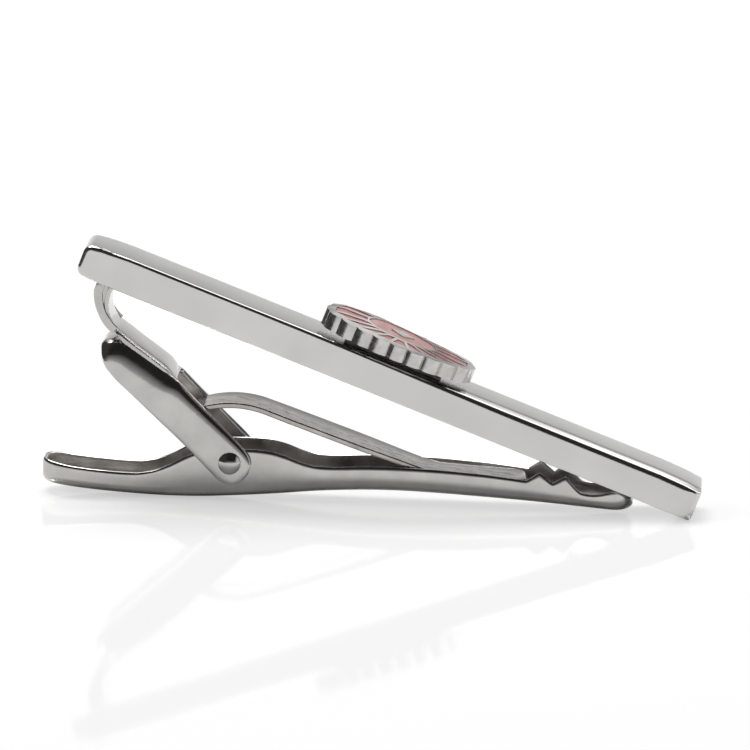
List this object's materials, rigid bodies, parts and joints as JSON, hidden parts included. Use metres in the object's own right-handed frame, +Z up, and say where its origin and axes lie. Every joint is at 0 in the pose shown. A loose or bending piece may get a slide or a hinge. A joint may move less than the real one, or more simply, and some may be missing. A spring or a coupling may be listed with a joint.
{
  "type": "tie clip",
  "caption": "Tie clip: a slim plated bar with an enamelled oval emblem on its front and a sprung, hinged channel jaw behind it that pinches the tie.",
  "frame": {"origin": "on the table plane, under the middle of the clip's length and width", "axes": "+X along the clip from the thumb tail to the jaw's tip, +Y across the clip away from the viewer, +Z up from the table"},
  "size_m": [0.0582, 0.0072, 0.0229],
  "materials": {
    "plated_bar": "bright polished plating",
    "plated_emblem": "bright plating over struck relief",
    "plated_clasp": "bright plating over bent sheet",
    "pink_enamel": "glossy fired enamel",
    "pale_enamel": "glossy fired enamel"
  },
  "bodies": {
    "front": {"front_bar": "plated_bar", "emblem_plaque": "plated_emblem", "enamel_rays": "pink_enamel", "enamel_center": "pale_enamel", "emblem_pad": "plated_emblem", "neck_strap": "plated_clasp", "hinge_bracket": "plated_clasp", "hinge_rivet": "plated_clasp"},
    "jaw": {"jaw_arm": "plated_clasp", "leaf_spring": "plated_clasp"}
  },
  "joints": [
    {"name": "jaw_pivot", "type": "hinge", "parent": "front", "child": "jaw", "pos_m": [-0.0124, 0, 0.00369], "axis": [0, 1, 0], "range_deg": [0, 30], "stiffness_Nm_per_rad": 0.06, "springref_deg": -28.65, "deforming": ["leaf_spring"]}
  ]
}
